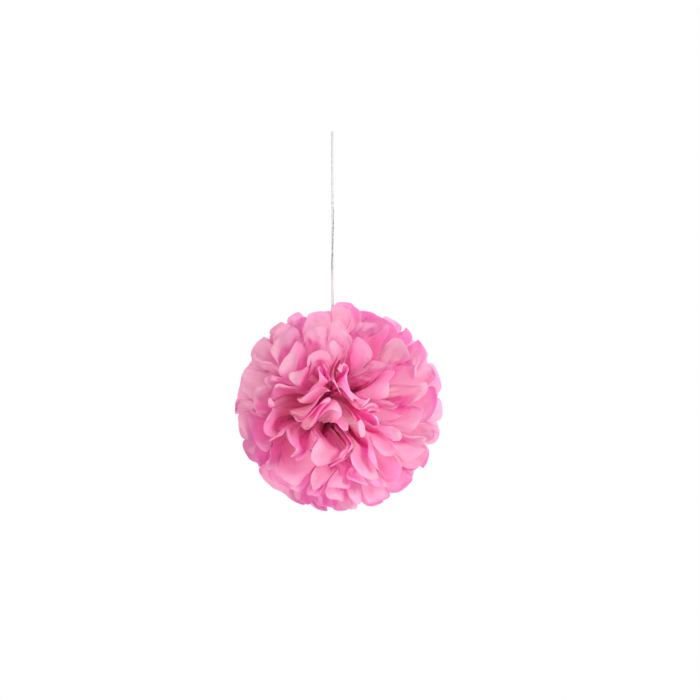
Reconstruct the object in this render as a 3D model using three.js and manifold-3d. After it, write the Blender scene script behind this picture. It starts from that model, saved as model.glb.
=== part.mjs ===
// Tissue paper pom pom on a hanging ribbon, in millimetres, +Z up, seen from -Y.
// A stack of tissue sheets is pleated into one narrow strip, tied round its waist with florist wire,
// its strip ends are cut round, and the two fans of every sheet are pulled towards the front or the
// back of the ball, so that the sheets nest inside each other like cups.
// The ribbon's upper end is the origin, and the ball hangs straight below it.
import * as THREE from 'three';
import Manifold from 'manifold-3d';

// Ball
const BALL_DIAMETER = 406;
const WAIST_BELOW_TOP = 541;
const BALL_SHIFT_X = 13;
const SHEETS_PER_HALF = 5;
const PANELS_PER_FAN = 11;
const PANEL_WIDTH = 62;
const SCALLOP_DEPTH = 0.2;
const FREE_REACH = 0.94;
const FULL_REACH = 1.015;
const OUTWARD_SHARE = 0.15;

// Tissue as it is built solid, and the bunched waist
const TISSUE_THICKNESS = 0.5;
const SHEET_GAP = 0.3;
const WAIST_HEIGHT = 12;
const WAIST_HALF_LENGTH = 6;

// Ribbon and wire
const RIBBON_WIDTH = 5;
const RIBBON_THICKNESS = 0.4;
const RIBBON_GAP = 0.35;
const KNOT_HEIGHT = 4.4;
const KNOT_DEPTH = 4.6;
const WIRE_DIAMETER = 1;
const GRIP_GAP = 0.5;
const GRIP_BEND_RADIUS = 1;
const WIRE_TAIL = 8;

// Worked out from the sizes above
const R0 = BALL_DIAMETER / 2;
const K = SHEETS_PER_HALF * 2;
const M = PANELS_PER_FAN;
const PITCH = TISSUE_THICKNESS + SHEET_GAP;
const MID_HALF_GAP = RIBBON_THICKNESS / 2 + RIBBON_GAP;
const STACK_HALF_DEPTH = MID_HALF_GAP + SHEETS_PER_HALF * PITCH - SHEET_GAP;
const WIRE_HALF_Y = STACK_HALF_DEPTH + GRIP_GAP + WIRE_DIAMETER / 2;
const WIRE_HALF_Z = WAIST_HEIGHT / 2 + GRIP_GAP + WIRE_DIAMETER / 2;
const WIRE_X = -(RIBBON_WIDTH / 2 + GRIP_GAP + WIRE_DIAMETER / 2);
const TIE_HALF_Y = STACK_HALF_DEPTH + GRIP_GAP;
const TIE_HALF_Z = WAIST_HEIGHT / 2 + GRIP_GAP;
const KNOT_TOP = TIE_HALF_Z + KNOT_HEIGHT;

// Folds: degrees across the nest of cups, and shares of one panel along it
const FOLD_CHANGE = 1.4;
const LEAN = 0.3;
const LEAN_CHANGE = 0.32;
const FOLD_SHIFT = 0.15;
const BULGE = 5;
const CURL = 10;
const SEAM_LAP = 4;
const SEAM_OFFSET = 3;
const LENGTH_CHANGE = 0.08;
const FOLD_ROUND = 0.3;
const DEEP_FOLD = 0.15;
const DEEP_MOST = 0.5;
const SEAM_CALM = 24;
const WAVES = [
  [205, 15],
  [112, 8],
];
const BAND_WEIGHTS = [1.3, 1.12, 1, 0.86, 0.78];
const BAND_SHARE = 0.88;
const FOLD_MITRE = 0.25;
const WAIST_MITRE = 0.75;
const LEAST_WALL = 0.2;

// Rows of points from the waist to the rim, and how many steps each row has per panel
const ROWS = [0, 0.012, 0.1, 0.26, 0.4, 0.57, 0.8, 1];
const STEPS = [1, 1, 1, 1, 1, 3, 3, 3];

// A repeatable number from -1 to 1
function pick(...keys) {
  let v = 0;
  keys.forEach((key, i) => {
    v += (key + 1.37) * (12.9898 + 23.17 * i);
  });
  const x = Math.sin(v) * 43758.5453;
  return 2 * (x - Math.floor(x)) - 1;
}

function ease(a, b, x) {
  const t = Math.min(1, Math.max(0, (x - a) / (b - a)));
  return t * t * (3 - 2 * t);
}

const rad = (degrees) => (degrees * Math.PI) / 180;

// Where fold j of an evenly opened fan points: folds are counted from the seam below the ball
const FAN_STEP = (Math.PI + 2 * rad(SEAM_LAP)) / M;
const evenTurn = (j) => -Math.PI / 2 - rad(SEAM_LAP) + FAN_STEP * j;

// Each sheet keeps to its own band of angle from the front pole to the back pole
function bandOf(k) {
  const n = Math.min(k, K - 1 - k);
  const weight = (i) => BAND_WEIGHTS[Math.min(i, BAND_WEIGHTS.length - 1)];
  let total = 0;
  for (let i = 0; i < SHEETS_PER_HALF; i += 1) total += weight(i);
  let before = 0;
  for (let i = 0; i < n; i += 1) before += weight(i);
  const half = (weight(n) / total) * (Math.PI / 4);
  const centre = (before / total) * (Math.PI / 2) + half;
  return { centre: k < SHEETS_PER_HALF ? centre : Math.PI - centre, half };
}

// The fold lines of one fan: their direction round the nest and their height across the band
function foldLines(k, side) {
  const pitch = Math.min(0.94 * PANEL_WIDTH, R0 * FAN_STEP * Math.sin(bandOf(k).centre));
  const size = (Math.sqrt(PANEL_WIDTH ** 2 - pitch ** 2) / 2 / R0) * (180 / Math.PI);
  const way = pick(k, side, 7) > 0 ? LEAN : -LEAN;
  const loose = 1 - Math.min(k, K - 1 - k) / SHEETS_PER_HALF;
  const lines = [];
  for (let j = 0; j <= M; j += 1) {
    const sign = (j + (side > 0 ? 1 : 0)) % 2 ? 1 : -1;
    let phi = evenTurn(j);
    let height = sign * size + FOLD_CHANGE * pick(k, side, j, 3);
    if (j === 0 || j === M) {
      height = -sign * SEAM_OFFSET;
    } else {
      const lean = sign * loose * (way + LEAN_CHANGE * pick(k, side, j, 1));
      phi += FAN_STEP * (FOLD_SHIFT * pick(k, side, j, 2) + lean);
    }
    lines.push({ phi, height: rad(height) });
  }
  return lines;
}

// The whole nest is pushed about by a few slow waves, which all sheets share, so that no two meet
function settle(p) {
  const d2 = p.x * p.x + p.y * p.y;
  const r = p.length();
  const grow = ease(0.1, 0.75, r / R0);
  const clear = 1 - Math.exp(-d2 / 1600) * ease(0, 30, p.z);
  WAVES.forEach(([reach, size], w) => {
    ['y', 'x', 'z'].forEach((axis, a) => {
      const others = ['x', 'y', 'z'].filter((name) => name !== axis);
      let sum = 0;
      for (let n = 0; n < 3; n += 1) {
        const turn = Math.PI * pick(w, a, n, 11);
        const start = Math.PI * pick(w, a, n, 12);
        const long = reach * (1 + 0.22 * pick(w, a, n, 13));
        const along = p[others[0]] * Math.cos(turn) + p[others[1]] * Math.sin(turn);
        sum += Math.sin((along * 2 * Math.PI) / long + start);
      }
      p[axis] += 0.69 * size * sum * grow * (axis === 'y' ? clear : 1);
    });
  });
  const pushed = Math.max(p.length(), 0.001);
  const far = r + OUTWARD_SHARE * (pushed - r);
  p.multiplyScalar(far / pushed);
  const free = FREE_REACH * R0;
  const room = FULL_REACH * R0 - free;
  if (far > free) p.multiplyScalar((free + room * Math.tanh((far - free) / room)) / far);
  p.x += BALL_SHIFT_X * ease(0.05, 0.6, r / R0);
  return p;
}

// The deep folds near the waist, which are the same for all sheets, because they were pleated as one
function sharedFold(phi, theta, out, side) {
  const zigzag = side * Math.cos((Math.PI * (phi - evenTurn(0))) / FAN_STEP);
  const size = Math.min(DEEP_MOST, (DEEP_FOLD * (1 - out)) / Math.max(out, 0.02)) * ease(0.05, 0.22, out);
  const calm = ease(0, rad(SEAM_CALM), Math.PI / 2 - Math.abs(phi));
  return size * calm * zigzag * Math.sin(theta);
}

// Where a panel's middle line runs at share s of its width, with each fold bent round and not sharp
function foldedPath(lines, i, s, round) {
  const mix = (a, b, share) => ({
    phi: a.phi + (b.phi - a.phi) * share,
    height: a.height + (b.height - a.height) * share,
  });
  const bend = (j, v) => {
    const from = mix(lines[j], lines[j - 1], round);
    const to = mix(lines[j], lines[j + 1], round);
    return mix(mix(from, lines[j], v), mix(lines[j], to, v), v);
  };
  if (s < round && i > 0) return bend(i, (s + round) / (2 * round));
  if (s > 1 - round && i < M - 1) return bend(i + 1, (s - 1 + round) / (2 * round));
  return mix(lines[i], lines[i + 1], s);
}

// One point of a sheet: u counts panels along the fan, t runs from the waist to the rim
function sheetPoint(k, side, lines, u, t) {
  const band = bandOf(k);
  const i = Math.min(M - 1, Math.floor(u));
  const s = u - i;
  const tight = Math.min(1, 1.6 * Math.sin(band.centre));
  const calm = (n) => tight * (n <= 0 || n >= M - 1 ? 0.35 : 1);
  const curlOf = (n) => calm(n) * pick(k, side, Math.min(M - 1, Math.max(0, n)), 6);
  const arch = Math.sqrt(Math.max(0, 1 - (2 * s - 1) ** 2));
  const rim = 1 - SCALLOP_DEPTH * (1 - arch) + LENGTH_CHANGE * pick(k, side, i, 5) * Math.sin(Math.PI * s);
  const level = k - SHEETS_PER_HALF + 0.5;
  const y = level * PITCH + Math.sign(level) * (MID_HALF_GAP - SHEET_GAP / 2);
  const z = ((2 * u) / M - 1) * (WAIST_HEIGHT / 2);
  const straight = ROWS[1];
  const nested = (SHEETS_PER_HALF - 0.5 - Math.abs(level)) * PITCH;
  const x = side * (WAIST_HALF_LENGTH + nested) * Math.min(1, t / straight);
  const down = Math.max(0, t - straight) / (1 - straight);
  const out = down * (1 + (rim - 1) * down ** 2);
  const path = foldedPath(lines, i, s, 0.08 + (FOLD_ROUND - 0.08) * ease(0.2, 0.9, out));
  const belly = (4 * s * (1 - s)) ** 2;
  let phi = evenTurn(u) + (path.phi - evenTurn(u)) * ease(0.35, 0.85, out);
  let height = path.height * ease(0.1, 0.65, out);
  height += calm(i) * rad(BULGE) * pick(k, side, i, 8) * belly * ease(0.3, 1, out);
  const tip = Math.min(1.2, Math.max(0, (out - 0.62) / 0.38)) ** 2;
  const shared = (curlOf(i - 1) + curlOf(i)) * (1 - s) + (curlOf(i) + curlOf(i + 1)) * s;
  height += rad(CURL) * (0.2 * shared + 0.65 * belly * curlOf(i)) * tip;
  const limit = band.half * BAND_SHARE;
  let theta = band.centre + height / (1 + (height / limit) ** 4) ** 0.25;
  theta += sharedFold(phi, theta, out, side);
  if (side < 0) phi = Math.PI - phi;
  const r = R0 * out;
  return settle(new THREE.Vector3(
    x + r * Math.sin(theta) * Math.cos(phi),
    y - r * Math.cos(theta),
    z + r * Math.sin(theta) * Math.sin(phi),
  ));
}

// One sheet: rows from the left rim through the waist to the right rim
function sheetGeometry(k) {
  const rows = [];
  for (const side of [-1, 1]) {
    const lines = foldLines(k, side);
    const made = ROWS.map((t, n) => {
      const count = M * STEPS[n];
      const row = [];
      for (let c = 0; c <= count; c += 1) row.push(sheetPoint(k, side, lines, (c * M) / count, t));
      return row;
    });
    if (side < 0) rows.push(...made.reverse());
    else rows.push(...made.slice(1));
  }
  const points = [];
  const ids = rows.map((row) => row.map((p) => points.push(p) - 1));
  const faces = [];
  for (let n = 0; n + 1 < ids.length; n += 1) {
    const a = ids[n];
    const b = ids[n + 1];
    let i = 0;
    let j = 0;
    while (i < a.length - 1 || j < b.length - 1) {
      const nextA = (i + 1) / (a.length - 1);
      const nextB = (j + 1) / (b.length - 1);
      if (j === b.length - 1 || (i < a.length - 1 && nextA <= nextB + 1e-9)) {
        faces.push([a[i], b[j], a[i + 1]]);
        i += 1;
      } else {
        faces.push([a[i], b[j], b[j + 1]]);
        j += 1;
      }
    }
  }
  const rim = [
    ...ids[0],
    ...ids.slice(1).map((row) => row[row.length - 1]),
    ...ids[ids.length - 1].slice(0, -1).reverse(),
    ...ids.slice(1, -1).reverse().map((row) => row[0]),
  ];
  const middle = ROWS.length - 1;
  const mitreAt = (n) => (Math.abs(n - middle) < 2 ? WAIST_MITRE : FOLD_MITRE);
  const mitreOf = rows.flatMap((row, n) => row.map(() => mitreAt(n)));
  return thicken(points, faces, rim, TISSUE_THICKNESS, mitreOf);
}

// The way out of the paper that suits all the faces that meet at one point of a fold
function wayOut(around, mitre) {
  const way = new THREE.Vector3();
  around.forEach((n) => way.add(n));
  way.normalize();
  for (let turn = 0; turn < 200; turn += 1) {
    const least = around.reduce((low, n) => (n.dot(way) < low.dot(way) ? n : low));
    if (turn > 60 && least.dot(way) > 0.3) break;
    way.addScaledVector(least, 0.06).normalize();
  }
  const least = Math.min(...around.map((n) => n.dot(way)));
  return way.multiplyScalar((least < 0.06 ? 0.4 : 1) / Math.max(mitre, least));
}

// A single layer of points becomes a closed sheet of one thickness
function thicken(points, faces, rim, thickness, mitreOf) {
  const around = points.map(() => []);
  const flats = [];
  for (const [a, b, c] of faces) {
    const ab = points[b].clone().sub(points[a]);
    const ac = points[c].clone().sub(points[a]);
    const n = ab.cross(ac).normalize();
    flats.push(n);
    [a, b, c].forEach((v) => around[v].push(n));
  }
  const normals = around.map((list, v) => wayOut(list, mitreOf[v]).multiplyScalar(thickness / 2));
  // Where many faces meet in a tight fold, the points move until each face has some wall behind it
  for (let turn = 0; turn < 80; turn += 1) {
    faces.forEach((corners, f) => {
      const mean = corners.reduce((sum, v) => sum + normals[v].dot(flats[f]), 0) / 3;
      const lack = Math.max(0, thickness * LEAST_WALL - mean);
      corners.forEach((v) => normals[v].addScaledVector(flats[f], lack));
    });
  }
  const top = points.map((p, i) => p.clone().add(normals[i]));
  const bottom = points.map((p, i) => p.clone().sub(normals[i]));
  const all = [...top, ...bottom];
  const off = points.length;
  const index = [];
  for (const [a, b, c] of faces) index.push(a, b, c, off + a, off + c, off + b);
  rim.forEach((a, i) => {
    const b = rim[(i + 1) % rim.length];
    index.push(a, b, off + b, a, off + b, off + a);
  });
  return closed(all, index);
}

// A geometry from shared points, turned so that its faces look outwards
function closed(points, index) {
  let volume = 0;
  for (let i = 0; i < index.length; i += 3) {
    const [a, b, c] = [points[index[i]], points[index[i + 1]], points[index[i + 2]]];
    volume += a.dot(b.clone().cross(c)) / 6;
  }
  if (volume < 0) {
    for (let i = 0; i < index.length; i += 3) [index[i], index[i + 1]] = [index[i + 1], index[i]];
  }
  const geometry = new THREE.BufferGeometry();
  const values = new Float32Array(points.flatMap((p) => [p.x, p.y, p.z]));
  geometry.setAttribute('position', new THREE.BufferAttribute(values, 3));
  geometry.setIndex(index);
  geometry.computeVertexNormals();
  return geometry;
}

// A ring round the waist in the plane x = 0, with round corners
function ringPath(halfY, halfZ, radius, steps) {
  const path = [];
  const corners = [
    [halfY - radius, halfZ - radius, 0],
    [-(halfY - radius), halfZ - radius, 90],
    [-(halfY - radius), -(halfZ - radius), 180],
    [halfY - radius, -(halfZ - radius), 270],
  ];
  for (const [y, z, start] of corners) {
    for (let n = 0; n <= steps; n += 1) {
      const turn = rad(start + (90 * n) / steps);
      path.push([y + radius * Math.cos(turn), z + radius * Math.sin(turn), turn]);
    }
  }
  return path;
}

// A section swept round the ring: section points are [outwards, sideways]
function ringGeometry(path, section) {
  const points = [];
  for (const [y, z, turn] of path) {
    for (const [out, side] of section) {
      points.push(new THREE.Vector3(side, y + out * Math.cos(turn), z + out * Math.sin(turn)));
    }
  }
  const n = section.length;
  const index = [];
  for (let i = 0; i < path.length; i += 1) {
    const next = (i + 1) % path.length;
    for (let j = 0; j < n; j += 1) {
      const k = (j + 1) % n;
      index.push(i * n + j, i * n + k, next * n + k, i * n + j, next * n + k, next * n + j);
    }
  }
  return closed(points, index);
}

const wasm = await Manifold();
wasm.setup();

function toManifold(geometry) {
  const mesh = new wasm.Mesh({
    numProp: 3,
    vertProperties: new Float32Array(geometry.attributes.position.array),
    triVerts: new Uint32Array(geometry.index.array),
  });
  mesh.merge();
  return new wasm.Manifold(mesh);
}

function fromManifold(solid) {
  const mesh = solid.getMesh();
  const geometry = new THREE.BufferGeometry();
  geometry.setAttribute('position', new THREE.BufferAttribute(new Float32Array(mesh.vertProperties), 3));
  geometry.setIndex([...mesh.triVerts]);
  geometry.computeVertexNormals();
  return geometry;
}

// Florist wire: one turn round the bunch, its two ends twisted into a short tail below it
function wireTie() {
  const circle = [];
  for (let n = 0; n < 8; n += 1) {
    const a = rad(45 * n + 22.5);
    circle.push([(WIRE_DIAMETER / 2) * Math.cos(a), (WIRE_DIAMETER / 2) * Math.sin(a)]);
  }
  const path = ringPath(WIRE_HALF_Y, WIRE_HALF_Z, GRIP_BEND_RADIUS + WIRE_DIAMETER / 2, 4);
  const ring = ringGeometry(path, circle);
  const points = [];
  const turns = 2.5;
  const rows = 26;
  const lobe = [];
  for (let n = 0; n < 12; n += 1) {
    const a = rad(30 * n);
    const r = (WIRE_DIAMETER / 2) * (1 + 0.75 * Math.abs(Math.cos(a)));
    lobe.push([r * Math.cos(a), r * Math.sin(a)]);
  }
  for (let i = 0; i <= rows; i += 1) {
    const turn = (turns * 2 * Math.PI * i) / rows;
    const z = -WIRE_HALF_Z + 0.2 - (WIRE_TAIL * i) / rows;
    for (const [a, b] of lobe) {
      const x = a * Math.cos(turn) - b * Math.sin(turn);
      const y = a * Math.sin(turn) + b * Math.cos(turn);
      points.push(new THREE.Vector3(x, y, z));
    }
  }
  const index = [];
  const n = lobe.length;
  for (let i = 0; i < rows; i += 1) {
    for (let j = 0; j < n; j += 1) {
      const k = (j + 1) % n;
      index.push(i * n + j, i * n + k, (i + 1) * n + k, i * n + j, (i + 1) * n + k, (i + 1) * n + j);
    }
  }
  for (let j = 1; j < n - 1; j += 1) {
    index.push(0, j + 1, j, rows * n, rows * n + j, rows * n + j + 1);
  }
  return fromManifold(toManifold(ring).add(toManifold(closed(points, index))).translate([WIRE_X, 0, 0]));
}

// The ribbon's loop round the waist beside the wire, with its knot on top
function ribbonTie() {
  const t = RIBBON_THICKNESS;
  const w = RIBBON_WIDTH / 2;
  const path = ringPath(TIE_HALF_Y, TIE_HALF_Z, GRIP_BEND_RADIUS, 4);
  const band = ringGeometry(path, [[0, -w], [0, w], [t, w], [t, -w]]);
  const knot = new THREE.SphereGeometry(1, 14, 10);
  knot.deleteAttribute('uv');
  knot.deleteAttribute('normal');
  knot.scale(w, KNOT_DEPTH / 2, KNOT_HEIGHT / 2);
  knot.translate(0, 0, TIE_HALF_Z + KNOT_HEIGHT / 2);
  return fromManifold(toManifold(band).add(toManifold(knot)));
}

// The free ribbon, flat to the front, from the knot up to its plain cut end
function hangingRibbon() {
  const w = RIBBON_WIDTH / 2;
  const t = RIBBON_THICKNESS / 2;
  const c = t / 2;
  const outline = [
    [-w, -c],
    [-w + c, -t],
    [w - c, -t],
    [w, -c],
    [w, c],
    [w - c, t],
    [-w + c, t],
    [-w, c],
  ];
  const shape = new THREE.Shape(outline.map(([x, y]) => new THREE.Vector2(x, y)));
  const bottom = KNOT_TOP + RIBBON_GAP;
  const depth = WAIST_BELOW_TOP - bottom;
  const geometry = new THREE.ExtrudeGeometry(shape, { depth, steps: 40, bevelEnabled: false });
  geometry.translate(0, 0, bottom);
  return geometry;
}

function mesh(name, geometry, colour, roughness, metalness) {
  const material = new THREE.MeshStandardMaterial({ color: new THREE.Color(colour), roughness, metalness });
  const made = new THREE.Mesh(geometry, material);
  made.name = name;
  made.position.z = -WAIST_BELOW_TOP;
  return made;
}

const group = new THREE.Group();
group.name = 'tissue_pom_pom';
for (let k = 0; k < K; k += 1) {
  const name = `tissue_sheet_${String(k + 1).padStart(2, '0')}`;
  group.add(mesh(name, sheetGeometry(k), '#ee85ae', 0.85, 0));
}
group.add(mesh('wire_tie', wireTie(), '#8c9a86', 0.5, 0.6));
group.add(mesh('ribbon_tie', ribbonTie(), '#f2f0f0', 0.45, 0));
group.add(mesh('hanging_ribbon', hangingRibbon(), '#f2f0f0', 0.45, 0));

export default group;
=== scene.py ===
# %% [markdown]
# # A tissue paper pom pom on its ribbon
#
# The real pom pom starts as a stack of ten tissue sheets. The stack is pleated like a fan into one narrow
# strip, the strip is tied round its middle, its two ends are cut round, and then each sheet is pulled up by
# hand, one after the other, towards the front or the back, until the ends stand as petals all round a ball.
# A narrow ribbon tied at the waist carries it.
#
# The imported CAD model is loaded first. It fixes where every piece goes, and nothing here moves it. What
# this script adds is what the solids leave out: thin paper with gathers and crumples, a ribbon with its
# ribs, the finishes, and the light.

# %% Load the frame
import math

import bmesh
import bpy
import numpy as np
from mathutils import Matrix, Vector


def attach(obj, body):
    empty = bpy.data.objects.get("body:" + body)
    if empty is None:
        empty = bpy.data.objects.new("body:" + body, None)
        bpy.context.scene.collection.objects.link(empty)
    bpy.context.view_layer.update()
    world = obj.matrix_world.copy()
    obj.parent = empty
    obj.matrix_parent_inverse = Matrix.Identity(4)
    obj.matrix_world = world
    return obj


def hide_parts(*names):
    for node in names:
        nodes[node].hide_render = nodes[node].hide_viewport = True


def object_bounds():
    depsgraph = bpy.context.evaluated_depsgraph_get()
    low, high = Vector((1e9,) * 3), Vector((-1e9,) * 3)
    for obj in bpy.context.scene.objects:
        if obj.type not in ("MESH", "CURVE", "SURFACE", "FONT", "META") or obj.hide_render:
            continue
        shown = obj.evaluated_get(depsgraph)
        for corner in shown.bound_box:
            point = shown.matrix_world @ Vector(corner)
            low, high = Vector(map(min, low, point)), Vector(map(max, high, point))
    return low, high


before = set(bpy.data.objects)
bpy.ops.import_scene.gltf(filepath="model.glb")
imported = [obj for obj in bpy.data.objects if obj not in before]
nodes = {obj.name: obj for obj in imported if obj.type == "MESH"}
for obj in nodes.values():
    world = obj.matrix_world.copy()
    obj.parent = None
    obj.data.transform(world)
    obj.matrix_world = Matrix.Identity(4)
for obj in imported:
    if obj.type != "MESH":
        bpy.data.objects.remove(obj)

cad_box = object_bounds()
MM = 0.001
print("nodes:", len(nodes), "box:", [[round(v, 4) for v in corner] for corner in cad_box])

# %% [markdown]
# ## The view
#
# The photograph looks at the ball level and from straight ahead, from far enough away that nothing narrows
# towards the back. The ribbon hangs on the frame's Z axis, so two measures place the camera: the pixel
# column that the ribbon runs down, and the pixel row of its cut upper end. The scale comes from the 5 mm
# ribbon, which covers about 2.6 pixels, and at that scale the ball is 406 mm wide. A long lens at four
# metres gives the same flat view as the photograph.

# %% Camera
IMAGE = 700
RIBBON_COLUMN = 332.5
RIBBON_END_ROW = 131
METRES_PER_PIXEL = 1.96 * MM
CAMERA_DISTANCE = 4.0
SENSOR_MM = 36

view_x = (IMAGE / 2 - RIBBON_COLUMN) * METRES_PER_PIXEL
view_z = -(IMAGE / 2 - RIBBON_END_ROW) * METRES_PER_PIXEL

camera_data = bpy.data.cameras.new("camera")
camera_data.sensor_width = SENSOR_MM
camera_data.lens = SENSOR_MM * CAMERA_DISTANCE / (IMAGE * METRES_PER_PIXEL)
camera = bpy.data.objects.new("camera", camera_data)
camera.location = (view_x, -CAMERA_DISTANCE, view_z)
camera.rotation_euler = (math.radians(90), 0, 0)
bpy.context.collection.objects.link(camera)
bpy.context.scene.camera = camera
print("camera at", [round(v, 3) for v in camera.location], "lens", round(camera_data.lens, 1), "mm")

# %% [markdown]
# ## The ribbon
#
# Ribbon of this kind is thin, ribbed plastic, 5 mm wide, and the weight of the ball pulls it straight. It
# is one flat strip of faces with a little thickness. A perfectly straight strip would look like a rod, so
# it is cupped slightly across its width, twists a little, and swings by a fraction of a millimetre along
# its length. Its upper end is cut on a slight slant. The width, length and place are those of the CAD node
# that it stands for, and the wall is thinner.

# %% Ribbon measures
# The slant of the cut fades over SLANT_SHARE of the length. The twist is an angle in radians.
RIBBON_WIDTH = 5 * MM
RIBBON_WALL = 0.16 * MM
RIBBON_FOOT = -529.75 * MM
RIBBON_CUP = 0.35 * MM
RIBBON_SLANT = 0.8 * MM
SLANT_SHARE = 0.01
RIBBON_TWIST = 0.10
SWING_SIDEWAYS = 0.3 * MM
SWING_FORWARDS = 0.5 * MM
RIBBON_COLUMNS = 10
RIBBON_ROWS = 260


def ribbon_line(z):
    """Where the middle of the ribbon is at height z: straight, with a very slight swing."""
    along = z / RIBBON_FOOT
    swing = math.sin(math.pi * along)
    x = SWING_SIDEWAYS * swing * math.sin(5.1 * along)
    y = SWING_FORWARDS * swing * math.sin(3.4 * along + 0.6)
    return Vector((x, y, z))


def ribbon_place(across, down):
    """Where a point goes. across runs from -0.5 to 0.5, and down from 0 at the cut end to 1 at the knot."""
    middle = ribbon_line(down * RIBBON_FOOT)
    twist = RIBBON_TWIST * math.sin(2.3 * math.pi * down + 0.4) * math.sin(math.pi * down)
    side = across * RIBBON_WIDTH
    cup = RIBBON_CUP * (1 - (2 * across) ** 2)
    end = RIBBON_SLANT * (across - 0.5) * max(0, 1 - down / SLANT_SHARE)
    return middle + Vector((
        side * math.cos(twist) - cup * math.sin(twist),
        side * math.sin(twist) - cup * math.cos(twist),
        end,
    ))


print("the ribbon hangs from 0 to", round(RIBBON_FOOT / MM, 2), "mm, width", round(RIBBON_WIDTH / MM, 1), "mm")

# %% Ribbon
shape = bmesh.new()
bmesh.ops.create_grid(shape, x_segments=RIBBON_COLUMNS, y_segments=RIBBON_ROWS, size=0.5)
ribbon_uv = shape.loops.layers.uv.new("flat")
for face in shape.faces:
    face.smooth = True
    for loop in face.loops:
        loop[ribbon_uv].uv = (loop.vert.co.x * RIBBON_WIDTH, (0.5 - loop.vert.co.y) * -RIBBON_FOOT)
for vert in shape.verts:
    vert.co = ribbon_place(vert.co.x, 0.5 - vert.co.y)
bmesh.ops.solidify(shape, geom=shape.faces[:], thickness=RIBBON_WALL)
bmesh.ops.recalc_face_normals(shape, faces=shape.faces[:])
ribbon_mesh = bpy.data.meshes.new("ribbon")
shape.to_mesh(ribbon_mesh)
shape.free()
ribbon = bpy.data.objects.new("ribbon", ribbon_mesh)
bpy.context.collection.objects.link(ribbon)

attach(ribbon, "root")
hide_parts("hanging_ribbon")
print("ribbon:", len(ribbon_mesh.polygons), "faces,", round(-RIBBON_FOOT / MM, 1), "mm long")

# %% [markdown]
# ## The pleats
#
# Every sheet has the same eleven panels, 62 mm wide, because all the sheets were pleated together. Near the
# waist a panel stands nearly on edge, and towards the rim the fan spreads, so the folds get shallower: the
# panel's width never changes, only how much of it points outwards.
#
# A cloth simulation could open the fans, but the petals' places decide whether the ball looks right, and a
# simulation that starts from a stack of tight pleats is slow and hard to steer. So each sheet is placed by
# rule: a fold line has a direction round the ball and a height across the nest, and each sheet keeps to its
# own band of angle between the front pole and the back pole, which stops the sheets from cutting each
# other. These are the measures and rules of the CAD solids.

# %% Measures of the ball
# STRAIGHT is the share of the radius that stays in the tied strip. Bands near the poles are the widest.
BALL_RADIUS = 203 * MM
WAIST = Vector((0, 0, -541 * MM))
BALL_SHIFT_X = 13 * MM
SHEETS_PER_HALF = 5
SHEETS = 2 * SHEETS_PER_HALF
PANELS = 11
PANEL_WIDTH = 62 * MM
SCALLOP = 0.2
WAIST_HEIGHT = 12 * MM
WAIST_HALF_LENGTH = 6 * MM
STACK_PITCH = 0.8 * MM
STACK_MIDDLE = 0.4 * MM
STRAIGHT = 0.012
BAND_WEIGHTS = [1.3, 1.12, 1, 0.86, 0.78]
BAND_SHARE = 0.88
SEAM_LAP = math.radians(4)
STEP = (math.pi + 2 * SEAM_LAP) / PANELS


def pick(*keys):
    """A number from -1 to 1, the same one for the same keys. The uneven factors only scramble the keys."""
    total = sum((key + 1.37) * (12.9898 + 23.17 * i) for i, key in enumerate(keys))
    x = math.sin(total) * 43758.5453
    return 2 * (x - math.floor(x)) - 1


def ease(a, b, x):
    """0 below a, 1 above b, and a smooth rise between them."""
    t = np.clip((x - a) / (b - a), 0, 1)
    return t * t * (3 - 2 * t)


def band_of(k):
    """The middle and half the width of sheet k's band, as angles from the front pole."""
    n = min(k, SHEETS - 1 - k)
    total = sum(BAND_WEIGHTS)
    half = BAND_WEIGHTS[n] / total * math.pi / 4
    centre = sum(BAND_WEIGHTS[:n]) / total * math.pi / 2 + half
    return (centre if k < SHEETS_PER_HALF else math.pi - centre), half


print("bands:", [round(math.degrees(band_of(k)[0]), 1) for k in range(SHEETS)])

# %% Fold lines of one fan
FOLD_CHANGE = math.radians(1.4)
SEAM_OFFSET = math.radians(3)
LEAN = 0.3
LEAN_CHANGE = 0.32
FOLD_SHIFT = 0.15
FLATTEST = 0.94


def even_turn(j):
    """Where fold j of an evenly opened fan points. Folds are counted from the seam below the ball."""
    return -math.pi / 2 - SEAM_LAP + STEP * j


def fold_lines(k, side):
    """The direction round the ball and the height across the band of each fold of a fan.

    The fan gives each panel a pitch at the rim, and the rest of its width goes into the depth of the folds.
    """
    pitch = min(FLATTEST * PANEL_WIDTH, BALL_RADIUS * STEP * math.sin(band_of(k)[0]))
    size = math.sqrt(PANEL_WIDTH ** 2 - pitch ** 2) / 2 / BALL_RADIUS
    way = LEAN if pick(k, side, 7) > 0 else -LEAN
    loose = 1 - min(k, SHEETS - 1 - k) / SHEETS_PER_HALF
    turns, heights = [], []
    for j in range(PANELS + 1):
        sign = 1 if (j + (1 if side > 0 else 0)) % 2 else -1
        turn = even_turn(j)
        height = sign * size + FOLD_CHANGE * pick(k, side, j, 3)
        if j in (0, PANELS):
            height = -sign * SEAM_OFFSET
        else:
            lean = sign * loose * (way + LEAN_CHANGE * pick(k, side, j, 1))
            turn += STEP * (FOLD_SHIFT * pick(k, side, j, 2) + lean)
        turns.append(turn)
        heights.append(height)
    return np.array(turns), np.array(heights)


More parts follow.
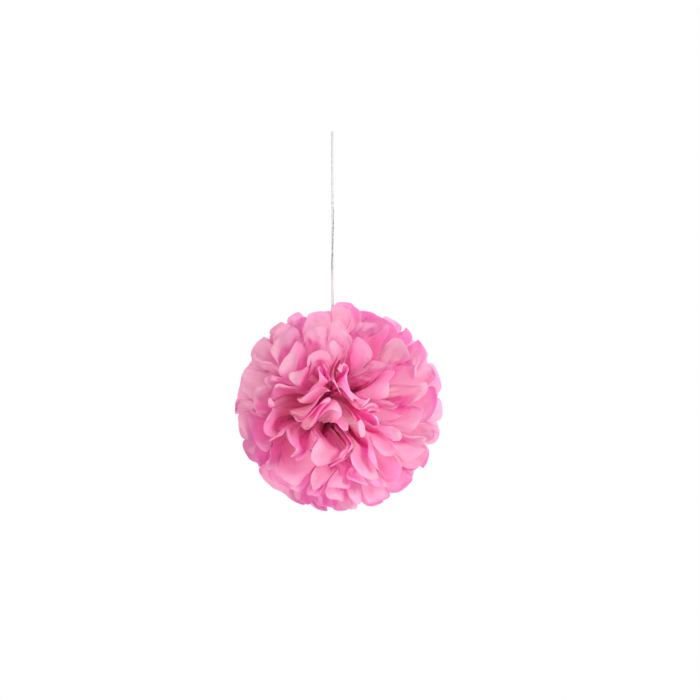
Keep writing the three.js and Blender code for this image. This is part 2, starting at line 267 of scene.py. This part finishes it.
def folded(values, i, s, bend):
    """Follow the fold lines from panel to panel, with each fold bent round over a share of the panel."""
    line = values[i] + (values[i + 1] - values[i]) * s

    def corner(j, v):
        j = np.clip(j, 1, PANELS - 1)
        start = values[j] + (values[j - 1] - values[j]) * bend
        end = values[j] + (values[j + 1] - values[j]) * bend
        return (1 - v) ** 2 * start + 2 * v * (1 - v) * values[j] + v * v * end

    line = np.where((s < bend) & (i > 0), corner(i, (s + bend) / (2 * bend)), line)
    last = (s > 1 - bend) & (i < PANELS - 1)
    return np.where(last, corner(i + 1, (s - 1 + bend) / (2 * bend)), line)


turns, heights = fold_lines(2, 1)
print("third sheet's folds at", [round(math.degrees(t)) for t in turns], "degrees")

# %% [markdown]
# ## The nest leans and sways
#
# No real pom pom is even: whole groups of petals lean together where a thumb pushed them. A few slow waves
# that all the sheets share push the whole nest about. Because the push depends only on the place, and
# changes slowly, sheets that were apart stay apart. Close to the ribbon the push from front to back fades
# away, so the ribbon hangs free. Petals that would reach out of the ball are drawn back to its surface.

# %% Shared waves
# Each wave has a length and a push. Three that differ a little in length are added for each direction.
WAVES = [(205 * MM, 15 * MM), (112 * MM, 8 * MM)]
WAVES_ADDED = 3
WAVE_SHARE = 0.69
WAVE_CHANGE = 0.22
RIBBON_ROOM = 40 * MM
ROOM_STARTS = 30 * MM
FREE_REACH = 0.94
FULL_REACH = 1.015
OUTWARD_SHARE = 0.15


def settle(p):
    """Push points of the nest about by the shared waves and keep them inside the ball."""
    p = p.copy()
    near_axis = p[:, 0] ** 2 + p[:, 1] ** 2
    r = np.linalg.norm(p, axis=1)
    grow = ease(0.1, 0.75, r / BALL_RADIUS)
    clear = 1 - np.exp(-near_axis / RIBBON_ROOM ** 2) * ease(0, ROOM_STARTS, p[:, 2])
    for w, (reach, size) in enumerate(WAVES):
        for a, axis in enumerate((1, 0, 2)):
            first, second = [i for i in range(3) if i != axis]
            push = np.zeros(len(p))
            for n in range(WAVES_ADDED):
                turn, start = math.pi * pick(w, a, n, 11), math.pi * pick(w, a, n, 12)
                along = p[:, first] * math.cos(turn) + p[:, second] * math.sin(turn)
                length = reach * (1 + WAVE_CHANGE * pick(w, a, n, 13))
                push += np.sin(along * 2 * math.pi / length + start)
            p[:, axis] += WAVE_SHARE * size * push * grow * (clear if axis == 1 else 1)
    pushed = np.maximum(np.linalg.norm(p, axis=1), 1e-6)
    far = r + OUTWARD_SHARE * (pushed - r)
    free, room = FREE_REACH * BALL_RADIUS, (FULL_REACH - FREE_REACH) * BALL_RADIUS
    far = np.where(far > free, free + room * np.tanh((far - free) / room), far)
    p *= (far / pushed)[:, None]
    p[:, 0] += BALL_SHIFT_X * ease(0.05, 0.6, r / BALL_RADIUS)
    return p


moved = settle(np.array([[0.1, -0.15, 0.05]])) - np.array([[0.1, -0.15, 0.05]])
print("a point near the rim moves by", np.round(moved[0] / MM, 1), "mm")

# %% [markdown]
# ## Gathers and crumples
#
# Tissue hardly stretches, so all the paper that fans out at the rim has to go somewhere at the waist. It
# goes into deep shared folds, because all the sheets were pleated as one, and into small gathers that run
# outwards from the tie and die out before the rim. On top of that come the crumples of soft paper that was
# pulled by hand: short creases with a flat facet on either side. The long ones run mostly outwards, the
# small ones any way.

# %% Deep folds that all the sheets share
DEEP_FOLD = 0.15
DEEP_MOST = 0.5
DEEP_START = 0.05
DEEP_FULL = 0.22
SEAM_CALM = math.radians(24)


def shared_fold(turn, theta, out, side):
    """The extra height of the shared folds, as an angle. It is the same for every sheet at one place."""
    zigzag = side * np.cos(math.pi * (turn - even_turn(0)) / STEP)
    size = np.minimum(DEEP_MOST, DEEP_FOLD * (1 - out) / np.maximum(out, 0.02))
    size = size * ease(DEEP_START, DEEP_FULL, out)
    calm = ease(0, SEAM_CALM, math.pi / 2 - np.abs(turn))
    return size * calm * zigzag * np.sin(theta)


for share in (0.1, 0.25, 0.5):
    fold = shared_fold(even_turn(PANELS // 2), math.pi / 2, share, 1)
    print("deep folds at", share, "of the radius:", round(abs(math.degrees(fold)), 1), "degrees high")

# %% Small gathers of one sheet
GATHERS_PER_PANEL = 3
GATHER_HEIGHT = PANEL_WIDTH / (4 * GATHERS_PER_PANEL)
GATHER_SHARE = 0.95
GATHER_FADE = 0.93
GATHER_POINTED = 0.985
INNER_SHEETS = 2
INNER_GATHER = 0.22
SLOW_WANDER = 0.35
QUICK_WANDER = 0.22
RIM_WANDER = 0.5


def gathers(k, side, across, out):
    """Height of the small gathers in metres: paper that is too wide for its place stands in small waves."""
    wander = SLOW_WANDER * np.sin(across * 2.1 + 3 * k) + QUICK_WANDER * np.sin(across * 5.3 + 7 * side + k)
    phase = 2 * math.pi * (GATHERS_PER_PANEL * across + wander + RIM_WANDER * out * np.sin(across * 3.7 + k))
    inner = max(0, INNER_SHEETS - min(k, SHEETS - 1 - k))
    full = GATHER_HEIGHT * np.sqrt(np.clip(1 - out ** 2, 0, 1))
    full *= 1 + INNER_GATHER * inner ** 1.5
    strength = GATHER_SHARE * ease(0.02, 0.16, out) * (1 - GATHER_FADE * ease(0.45, 0.82, out))
    return full * strength * (2 / math.pi) * np.arcsin(GATHER_POINTED * np.sin(phase))


print("gathers of the outer sheets are up to", round(GATHER_HEIGHT / MM, 1), "mm high")

# %% Crumples of one sheet
# Each kind of crease has a count, a reach, a slope, and the angle that it may turn from straight outwards.
CREASES = [(60, 34 * MM, 0.35, 0.6), (150, 20 * MM, 0.5, 1.0), (300, 11 * MM, 0.5, 1.6)]
CREASES_FROM = 0.25
CREASES_TO = 1.05
CREASE_ROUND = 1.2 * MM
CRUMPLE_SIDEWAYS = 0.5


def crumples(k, side, x, y):
    """Height of the crumples in metres at places on the flat sheet. Each crease is a ridge or a valley."""
    random = np.random.default_rng(10 * k + side + 1)
    height = np.zeros(len(x))
    for count, reach, slope, spread in CREASES:
        for _ in range(count):
            dx = x - random.uniform(0, PANELS * PANEL_WIDTH)
            dy = y - random.uniform(CREASES_FROM, CREASES_TO) * BALL_RADIUS
            turn = spread * random.uniform(-1, 1)
            away = dx * math.cos(turn) - dy * math.sin(turn)
            steep = slope * random.uniform(-1, 1)
            fading = np.exp(-(dx ** 2 + dy ** 2) / reach ** 2)
            height += steep * np.sqrt(away ** 2 + CREASE_ROUND ** 2) * fading
    return height


print("each fan has", sum(kind[0] for kind in CREASES), "creases")

# %% [markdown]
# ## One sheet, from flat to fan
#
# The sheet starts flat, as a grid of faces of the size that it was cut to. Its UV map is made while it is
# flat, so the crease and fibre patterns of the finish follow the paper, as they do on the real one. Then
# every point is moved to where the pleated, gathered and pulled-up sheet has it: outwards from the waist,
# up or down across its band, and pushed with the rest of the nest.

# %% Petals of one fan
# Petals beside a seam, and petals near the poles, where there is less room, bulge and curl less.
LENGTH_CHANGE = 0.08
BULGE = math.radians(5)
CURL = math.radians(10)
CURL_START = 0.62
CURL_OVER = 1.2
CORNER_CURL = 0.2
MIDDLE_CURL = 0.65
SEAM_PETAL = 0.35
POLE_PETAL = 1.6


def petal_rim(k, side, i, s):
    """How far each petal reaches: its end is cut round, and the petals differ a little in length."""
    arch = np.sqrt(np.clip(1 - (2 * s - 1) ** 2, 0, 1))
    length = np.array([pick(k, side, j, 5) for j in range(PANELS)])
    return 1 - SCALLOP * (1 - arch) + LENGTH_CHANGE * length[i] * np.sin(np.pi * s)


def add_petals(height, k, side, i, s, out):
    """Add to the height how far each petal bulges, and how far its tip and corners curl over."""
    tight = min(1, POLE_PETAL * math.sin(band_of(k)[0]))
    calm = tight * np.array([SEAM_PETAL if j in (0, PANELS - 1) else 1.0 for j in range(PANELS)])
    bulge = calm * np.array([pick(k, side, j, 8) for j in range(PANELS)])
    curl = calm * np.array([pick(k, side, j, 6) for j in range(PANELS)])
    ends = np.concatenate([curl[:1], curl, curl[-1:]])
    corner = ends[:-1] + ends[1:]
    belly = (4 * s * (1 - s)) ** 2
    height = height + BULGE * bulge[i] * belly * ease(0.3, 1, out)
    tip = np.clip((out - CURL_START) / (1 - CURL_START), 0, CURL_OVER) ** 2
    corners = corner[i] * (1 - s) + corner[i + 1] * s
    return height + CURL * (CORNER_CURL * corners + MIDDLE_CURL * belly * curl[i]) * tip


longer = [round(LENGTH_CHANGE * BALL_RADIUS * pick(2, 1, j, 5) / MM) for j in range(PANELS)]
print("petals of the third sheet are longer by", longer, "mm")

# %% Where each point of a sheet goes
FOLD_SHARP = 0.08
FOLD_ROUND = 0.3
LEAST_RADIUS = 12 * MM


def in_band(height, limit):
    """Small heights stay as they are, and large ones come to rest at the limit."""
    return height / (1 + (height / limit) ** 4) ** 0.25


def place_sheet(k, side, across, down):
    """Places in the frame for points of one fan: across counts panels, down runs from waist to rim."""
    centre, half = band_of(k)
    turns, heights = fold_lines(k, side)
    i = np.clip(np.floor(across).astype(int), 0, PANELS - 1)
    s = across - i
    rim = petal_rim(k, side, i, s)
    out = np.maximum(0, down - STRAIGHT) / (1 - STRAIGHT)
    out = out * (1 + (rim - 1) * out ** 2)

    bend = FOLD_SHARP + (FOLD_ROUND - FOLD_SHARP) * ease(0.2, 0.9, out)
    turn, height = folded(turns, i, s, bend), folded(heights, i, s, bend)
    turn = even_turn(across) + (turn - even_turn(across)) * ease(0.35, 0.85, out)
    height = add_petals(height * ease(0.1, 0.65, out), k, side, i, s, out)

    r = BALL_RADIUS * out
    crumpled = crumples(k, side, across * PANEL_WIDTH, down * BALL_RADIUS) * ease(0.2, 0.6, out)
    height += (gathers(k, side, across, out) + crumpled) / np.maximum(r, LEAST_RADIUS)
    turn = turn + CRUMPLE_SIDEWAYS * crumpled / np.maximum(r * math.sin(centre), LEAST_RADIUS)
    theta = centre + in_band(height, half * BAND_SHARE)
    theta += shared_fold(turn, theta, out, side)
    turn = turn if side > 0 else math.pi - turn

    level = k - SHEETS_PER_HALF + 0.5
    nested = (SHEETS_PER_HALF - 0.5 - abs(level)) * STACK_PITCH
    x = side * (WAIST_HALF_LENGTH + nested) * np.minimum(1, down / STRAIGHT)
    y = level * STACK_PITCH + math.copysign(STACK_MIDDLE, level)
    z = (2 * across / PANELS - 1) * WAIST_HEIGHT / 2
    points = np.stack([
        x + r * np.sin(theta) * np.cos(turn),
        y - r * np.cos(theta),
        z + r * np.sin(theta) * np.sin(turn),
    ], axis=-1)
    return settle(points) + np.array(WAIST)


petal_end = place_sheet(2, 1, np.array([5.5]), np.array([1.0]))[0]
print("the middle petal of the third sheet ends at", np.round(petal_end / MM).tolist(), "mm")

# %% Cut, pleat and open the sheets
COLUMNS_PER_PANEL = 18
ROWS = 168
FLAT_WIDTH = PANELS * PANEL_WIDTH
FLAT_LENGTH = 2 * BALL_RADIUS


def make_sheet(k):
    """One flat grid, moved to its place. One half becomes the left fan and the other the right fan."""
    sheet = bmesh.new()
    size = Matrix.Diagonal((FLAT_WIDTH, FLAT_LENGTH, 1, 1))
    bmesh.ops.create_grid(
        sheet, x_segments=PANELS * COLUMNS_PER_PANEL, y_segments=ROWS, size=0.5, matrix=size,
    )
    flat_map = sheet.loops.layers.uv.new("flat")
    for face in sheet.faces:
        face.smooth = True
        for loop in face.loops:
            loop[flat_map].uv = loop.vert.co.xy
    mesh = bpy.data.meshes.new(f"tissue_{k + 1:02d}")
    sheet.to_mesh(mesh)
    sheet.free()

    flat = np.zeros(len(mesh.vertices) * 3, np.float32)
    mesh.vertices.foreach_get("co", flat)
    flat = flat.reshape(-1, 3).astype(float)
    across = np.clip((flat[:, 0] / FLAT_WIDTH + 0.5) * PANELS, 0, PANELS)
    down = np.clip(np.abs(flat[:, 1]) / BALL_RADIUS, 0, 1)
    places = np.zeros_like(flat)
    for side, mine in ((-1, flat[:, 1] < 0), (1, flat[:, 1] >= 0)):
        places[mine] = place_sheet(k, side, across[mine], down[mine])
    mesh.vertices.foreach_set("co", places.astype(np.float32).ravel())
    mesh.update()
    piece = bpy.data.objects.new(mesh.name, mesh)
    bpy.context.collection.objects.link(piece)
    return piece


tissue_sheets = []
for k in range(SHEETS):
    piece = make_sheet(k)
    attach(piece, "root")
    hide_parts(f"tissue_sheet_{k + 1:02d}")
    tissue_sheets.append(piece)

# %% [markdown]
# ## Finishes
#
# A finish is a small tree of shader nodes. A few helpers keep the trees short: one starts a new material,
# one adds a node and sets its values, one does arithmetic on two numbers, and one blends two colours.

# %% Helpers for shader nodes
def linear(r, g, b):
    """A colour as a picture shows it, 0 to 255, turned into the light values that shaders use."""
    parts = [c / 255 for c in (r, g, b)]
    return tuple(((c + 0.055) / 1.055) ** 2.4 if c > 0.04045 else c / 12.92 for c in parts) + (1,)


def new_material(name):
    """An empty material and its node tree."""
    material = bpy.data.materials.new(name)
    material.use_nodes = True
    material.node_tree.nodes.clear()
    return material, material.node_tree


def add(tree, kind, links=None, **values):
    """Add a shader node. values are its settings or inputs, and links are its linked inputs."""
    made = tree.nodes.new(kind)
    for name, value in values.items():
        title = name.replace("_", " ")
        if title in made.inputs:
            made.inputs[title].default_value = value
        else:
            setattr(made, name, value)
    for name, source in (links or {}).items():
        tree.links.new(source, made.inputs[name])
    return made


def worked_out(tree, operation, first, second):
    """Arithmetic on two numbers. Each is the output of a node or a plain number."""
    made = add(tree, "ShaderNodeMath", operation=operation)
    for number, value in enumerate((first, second)):
        if isinstance(value, bpy.types.NodeSocket):
            tree.links.new(value, made.inputs[number])
        else:
            made.inputs[number].default_value = value
    return made.outputs[0]


def blended(tree, share, low, high):
    """Two colours blended by a share. A Mix node's colours are its inputs 6 and 7 and its output 2."""
    made = add(tree, "ShaderNodeMix", {"Factor": share}, data_type="RGBA")
    made.inputs[6].default_value = low
    made.inputs[7].default_value = high
    return made.outputs[2]


print("a middle grey of 128 is", round(linear(128, 128, 128)[0], 3), "in light values")

# %% [markdown]
# ### Tissue paper
#
# Tissue is one colour right through, matt, and thin enough for light to pass. What gives it away is that
# the light which comes through a petal is a deeper pink than the light which bounces off it, so hollows
# glow dark magenta and outer petals look pale. One pink on a Principled shader would leave the hollows dark
# and dull. So the light that bounces off is nearly white, and a Translucent shader, which has the larger
# share, turns the light that passes through pink. No shading is painted.
#
# The paper's fibres lie unevenly, which shows as faint clouds in the colour.

# %% Colour of the tissue
tissue, tree = new_material("tissue_paper")
TISSUE_COLOUR = linear(255, 244, 249)
TISSUE_DEEP = linear(255, 233, 244)
TISSUE_THROUGH = linear(255, 100, 198)
THROUGH_SHARE = 0.6
CLOUD_SCALE = 95

flat_place = add(tree, "ShaderNodeUVMap", uv_map="flat").outputs["UV"]
clouds = add(tree, "ShaderNodeTexNoise", {"Vector": flat_place}, Scale=CLOUD_SCALE, Detail=4, Roughness=0.62)
cloud_share = add(tree, "ShaderNodeMapRange", {"Value": clouds.outputs["Fac"]}, From_Min=0.32, From_Max=0.7)
paper_colour = blended(tree, cloud_share.outputs["Result"], TISSUE_DEEP, TISSUE_COLOUR)
print("share of light that passes through:", THROUGH_SHARE)

# %% [markdown]
# Handled tissue is full of crinkles that are too fine for the mesh. Noise alone looks like soft dents, but
# crinkles are straight creases with flat patches between them. A Voronoi pattern has just that: the
# distance to the nearest edge of a cell rises like a roof, and a random number for each cell turns the roof
# outwards or inwards. Three sizes of cells are laid over each other, all longer along the petals than
# across them. Soft waves and the fibres come on top.

# %% Crinkles of the tissue
# Each kind of crinkle has a scale, a slope, and an angle that its cells are turned by.
CRINKLES = [(26, 0.28, 0.3), (48, 0.28, -0.5), (100, 0.2, 1.1)]
CRINKLE_STRETCH = (1, 0.5, 1)
WAVE_STRETCH = (1, 0.42, 1)
WAVE_SCALE = 130
WAVE_DEPTH = 1.2 * MM
FIBRE_SCALE = 900
FIBRE_DEPTH = 0.2 * MM


def crinkled(scale, slope, turn, normal):
    """One more layer of crinkles: straight creases, with each patch between them dented in or out."""
    place = add(
        tree, "ShaderNodeMapping", {"Vector": flat_place}, Scale=CRINKLE_STRETCH, Rotation=(0, 0, turn),
    ).outputs["Vector"]
    edge = add(tree, "ShaderNodeTexVoronoi", {"Vector": place}, feature="DISTANCE_TO_EDGE", Scale=scale)
    patch = add(tree, "ShaderNodeTexVoronoi", {"Vector": place}, feature="F1", Scale=scale)
    way = add(tree, "ShaderNodeMapRange", {"Value": patch.outputs["Color"]}, To_Min=-1, To_Max=1)
    dent = worked_out(tree, "MULTIPLY", edge.outputs["Distance"], way.outputs["Result"])
    bump = add(tree, "ShaderNodeBump", {"Height": dent}, Strength=1.0, Distance=slope / scale)
    if normal:
        tree.links.new(normal, bump.inputs["Normal"])
    return bump.outputs["Normal"]


paper_normal = None
for scale, slope, turn in CRINKLES:
    paper_normal = crinkled(scale, slope, turn, paper_normal)
drawn_out = add(tree, "ShaderNodeMapping", {"Vector": flat_place}, Scale=WAVE_STRETCH).outputs["Vector"]
waves = add(tree, "ShaderNodeTexNoise", {"Vector": drawn_out}, Scale=WAVE_SCALE, Detail=5, Roughness=0.6)
fibres = add(tree, "ShaderNodeTexNoise", {"Vector": flat_place}, Scale=FIBRE_SCALE, Detail=3, Roughness=0.7)
for height, strength, depth in ((waves, 0.45, WAVE_DEPTH), (fibres, 0.25, FIBRE_DEPTH)):
    paper_normal = add(
        tree, "ShaderNodeBump", {"Height": height.outputs["Fac"], "Normal": paper_normal},
        Strength=strength, Distance=depth,
    ).outputs["Normal"]
print("layers in the bump:", sum(node.type == "BUMP" for node in tree.nodes))

# %% Light on and through the tissue
face_light = add(
    tree, "ShaderNodeBsdfPrincipled", {"Base Color": paper_colour, "Normal": paper_normal},
    Roughness=0.6, Specular_IOR_Level=0.15,
)
through_light = add(tree, "ShaderNodeBsdfTranslucent", {"Normal": paper_normal}, Color=TISSUE_THROUGH)
both = {1: face_light.outputs["BSDF"], 2: through_light.outputs["BSDF"]}
tissue_mix = add(tree, "ShaderNodeMixShader", both, Fac=THROUGH_SHARE)
add(tree, "ShaderNodeOutputMaterial", {"Surface": tissue_mix.outputs["Shader"]})
for piece in tissue_sheets:
    piece.data.materials.append(tissue)
print("tissue material:", len(tree.nodes), "nodes")

# %% [markdown]
# ### Ribbon and wire
#
# The ribbon is white plastic with fine ribs along its length. They are a wave texture across the flat
# ribbon's UV map in the bump, and the low points take a slightly greyer white, which is painted shade in
# the grooves. Specks make its shine a little uneven. The loop and knot round the waist are the CAD node
# itself, which has no UV map, so its ribs read Object coordinates. The wire is florist wire, with green
# paint that is worn in small spots.

# %% Ribbon material
RIBBON_COLOUR = linear(216, 215, 218)
# The greyer groove white is painted shade for the low points between the ribs.
RIBBON_GROOVE_SHADE = linear(194, 193, 198)
RIB_SCALE = 420
RIB_DEPTH = 0.1 * MM
SPECK_SCALE = 260
SPECK_DEPTH = 0.2 * MM


def ribbon_material(name, use_map):
    """White ribbed ribbon. Its ribs lie side by side along X, on the flat strip and on the loop alike."""
    material, tree = new_material(name)
    if use_map:
        place = add(tree, "ShaderNodeUVMap", uv_map="flat").outputs["UV"]
    else:
        place = add(tree, "ShaderNodeTexCoord").outputs["Object"]
    ribs = add(
        tree, "ShaderNodeTexWave", {"Vector": place}, wave_type="BANDS", bands_direction="X",
        Scale=RIB_SCALE, Distortion=0.3, Detail=1.0,
    )
    specks = add(tree, "ShaderNodeTexNoise", {"Vector": place}, Scale=SPECK_SCALE, Detail=3)
    # The rib low points get the greyer white, which is painted shade in the grooves.
    colour = blended(tree, ribs.outputs["Fac"], RIBBON_GROOVE_SHADE, RIBBON_COLOUR)
    rib_bump = add(tree, "ShaderNodeBump", {"Height": ribs.outputs["Fac"]}, Strength=0.5, Distance=RIB_DEPTH)
    speck_bump = add(
        tree, "ShaderNodeBump", {"Height": specks.outputs["Fac"], "Normal": rib_bump.outputs["Normal"]},
        Strength=0.2, Distance=SPECK_DEPTH,
    )
    shine = add(tree, "ShaderNodeMapRange", {"Value": specks.outputs["Fac"]}, To_Min=0.32, To_Max=0.5)
    surface = add(
        tree, "ShaderNodeBsdfPrincipled",
        {
            "Base Color": colour,
            "Roughness": shine.outputs["Result"],
            "Normal": speck_bump.outputs["Normal"],
        },
        Specular_IOR_Level=0.45,
    )
    add(tree, "ShaderNodeOutputMaterial", {"Surface": surface.outputs["BSDF"]})
    return material


ribbon.data.materials.append(ribbon_material("ribbed_ribbon", True))
knot = nodes["ribbon_tie"]
knot.material_slots[0].material = ribbon_material("ribbed_ribbon_tied", False)
print("ribbon and knot have", ribbon.data.materials[0].name, "and", knot.material_slots[0].material.name)

# %% Wire material
WIRE_GREEN = linear(120, 136, 112)
WIRE_BARE = linear(168, 166, 160)
WEAR_SCALE = 520
WEAR_DEPTH = 0.1 * MM
wire_paint, tree = new_material("painted_wire")
place = add(tree, "ShaderNodeTexCoord").outputs["Object"]
wear = add(tree, "ShaderNodeTexNoise", {"Vector": place}, Scale=WEAR_SCALE, Detail=5, Roughness=0.65)
bare = add(tree, "ShaderNodeMapRange", {"Value": wear.outputs["Fac"]}, From_Min=0.56, From_Max=0.66)
paint = blended(tree, bare.outputs["Result"], WIRE_GREEN, WIRE_BARE)
rough = add(tree, "ShaderNodeMapRange", {"Value": wear.outputs["Fac"]}, To_Min=0.35, To_Max=0.6)
wire_bump = add(tree, "ShaderNodeBump", {"Height": wear.outputs["Fac"]}, Strength=0.3, Distance=WEAR_DEPTH)
wire_surface = add(
    tree, "ShaderNodeBsdfPrincipled",
    {
        "Base Color": paint,
        "Metallic": bare.outputs["Result"],
        "Roughness": rough.outputs["Result"],
        "Normal": wire_bump.outputs["Normal"],
    },
)
add(tree, "ShaderNodeOutputMaterial", {"Surface": wire_surface.outputs["BSDF"]})
nodes["wire_tie"].material_slots[0].material = wire_paint
print("wire has", wire_paint.name)

# %% [markdown]
# ## Floor and light
#
# The photograph has a plain white ground all round. The world is white where the camera sees it, and much
# dimmer as a light: light from everywhere would reach into the hollows and grey them. Soft lamps in front,
# at both sides, above and behind light the ball instead, so that what arrives deep inside has passed
# through petals and glows. Light that a petal scatters onwards counts as a transmitted ray as well as a
# diffuse one, so diffuse rays are kept from seeing the bright ground. A pale floor lies well below the
# hanging ball, out of the level view.

# %% Floor
FLOOR_DROP = 0.55
FLOOR_RADIUS = 0.95
FLOOR_COLOUR = linear(246, 246, 247)
floor_height = cad_box[0][2] - FLOOR_DROP
floor_mesh = bpy.data.meshes.new("floor")
disc = bmesh.new()
bmesh.ops.create_circle(disc, cap_ends=True, segments=96, radius=FLOOR_RADIUS)
bmesh.ops.translate(disc, verts=disc.verts[:], vec=(0, 0, floor_height))
disc.to_mesh(floor_mesh)
disc.free()
floor = bpy.data.objects.new("floor", floor_mesh)
bpy.context.collection.objects.link(floor)
floor_paint, tree = new_material("pale_floor")
floor_surface = add(
    tree, "ShaderNodeBsdfPrincipled", Base_Color=FLOOR_COLOUR, Roughness=0.9, Specular_IOR_Level=0.1,
)
add(tree, "ShaderNodeOutputMaterial", {"Surface": floor_surface.outputs["BSDF"]})
floor_mesh.materials.append(floor_paint)
print("floor at", round(floor_height, 3), "m")

# %% World
WORLD_LIGHT = 0.36
world = bpy.data.worlds.new("studio")
bpy.context.scene.world = world
world.use_nodes = True
tree = world.node_tree
tree.nodes.clear()
white = (1, 1, 1, 1)
seen = add(tree, "ShaderNodeBackground", Color=white, Strength=1.0)
fill = add(tree, "ShaderNodeBackground", Color=white, Strength=WORLD_LIGHT)
ray = add(tree, "ShaderNodeLightPath")
seen_or_mirrored = worked_out(tree, "MAXIMUM", ray.outputs["Is Camera Ray"], ray.outputs["Is Glossy Ray"])
seen_share = worked_out(tree, "MAXIMUM", seen_or_mirrored, ray.outputs["Is Transmission Ray"])
not_diffuse = worked_out(tree, "SUBTRACT", 1, ray.outputs["Is Diffuse Ray"])
seen_only = worked_out(tree, "MULTIPLY", seen_share, not_diffuse)
world_mix = add(tree, "ShaderNodeMixShader", {0: seen_only, 1: fill.outputs[0], 2: seen.outputs[0]})
add(tree, "ShaderNodeOutputWorld", {"Surface": world_mix.outputs[0]})
print("the world lights with a strength of", WORLD_LIGHT)


# %% Lamps
def soft_lamp(name, offset, size, power):
    """A square lamp that looks at the ball's middle."""
    data = bpy.data.lights.new(name, "AREA")
    data.size = size
    data.energy = power
    lamp = bpy.data.objects.new(name, data)
    lamp.location = WAIST + Vector(offset)
    lamp.rotation_euler = Vector(offset).to_track_quat("Z", "Y").to_euler()
    bpy.context.collection.objects.link(lamp)
    print(name, "at", [round(v, 2) for v in lamp.location], power, "W")


soft_lamp("key_lamp", (1.4, -2.1, 0.7), 0.6, 36)
soft_lamp("right_lamp", (2.4, -0.6, 0.1), 0.8, 31)
soft_lamp("left_lamp", (-1.6, -1.4, -0.3), 1.2, 29)
soft_lamp("top_lamp", (0.2, -0.3, 2.4), 1.0, 11)
soft_lamp("back_lamp", (0.3, 2.3, 0.6), 1.2, 34)
bpy.context.scene.view_settings.view_transform = "Standard"
